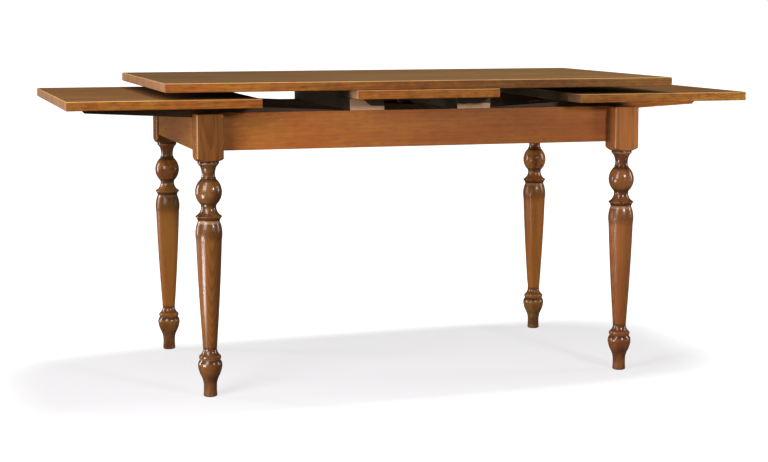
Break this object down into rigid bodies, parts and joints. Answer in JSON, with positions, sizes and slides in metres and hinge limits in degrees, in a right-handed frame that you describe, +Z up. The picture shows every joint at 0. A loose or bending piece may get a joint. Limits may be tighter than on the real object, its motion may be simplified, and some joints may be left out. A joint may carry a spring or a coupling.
{
  "type": "extending table",
  "caption": "Rectangular wooden dining table on turned legs, with a loose top and draw-out leaves that slide up sloped runners from under it at both ends.",
  "frame": {"origin": "on the floor below the middle of the frame", "axes": "+X along the table's length towards the right leaf, +Y towards the back, +Z up"},
  "size_m": [1.874, 0.775, 0.819],
  "materials": {
    "stained_wood": "warm mid-brown stain under satin lacquer",
    "raw_wood": "bare sawn beech",
    "screw_steel": "zinc-plated"
  },
  "bodies": {
    "frame": {"leg_front_left": "stained_wood", "leg_front_right": "stained_wood", "leg_back_left": "stained_wood", "leg_back_right": "stained_wood", "front_apron": "stained_wood", "back_apron": "stained_wood", "left_end_apron": "stained_wood", "right_end_apron": "stained_wood", "corner_block_front_left": "raw_wood", "corner_block_front_right": "raw_wood", "corner_block_back_left": "raw_wood", "corner_block_back_right": "raw_wood", "bridge_bearer_left": "raw_wood", "bridge_bearer_right": "raw_wood", "bridge_board": "stained_wood", "corner_screws": "screw_steel", "bridge_screws": "screw_steel"},
    "top": {"main_top": "stained_wood", "guide_peg_front": "raw_wood", "guide_peg_back": "raw_wood"},
    "left_leaf": {"left_leaf": "stained_wood", "left_runner_front": "stained_wood", "left_runner_back": "stained_wood", "left_runner_screws": "screw_steel", "left_stop_pegs": "raw_wood"},
    "right_leaf": {"right_leaf": "stained_wood", "right_runner_front": "stained_wood", "right_runner_back": "stained_wood", "right_runner_screws": "screw_steel", "right_stop_pegs": "raw_wood"}
  },
  "joints": [
    {"name": "left_leaf_slide", "type": "slide", "parent": "frame", "child": "left_leaf", "axis": [-0.9986, 0, 0.0521], "range_m": [-0.2473, 0.2533]},
    {"name": "right_leaf_slide", "type": "slide", "parent": "frame", "child": "right_leaf", "axis": [0.9986, 0, 0.0521], "range_m": [-0.2273, 0.2733]},
    {"name": "top_lift", "type": "slide", "parent": "frame", "child": "top", "axis": [0, 0, 1], "range_m": [0, 0.03]}
  ]
}
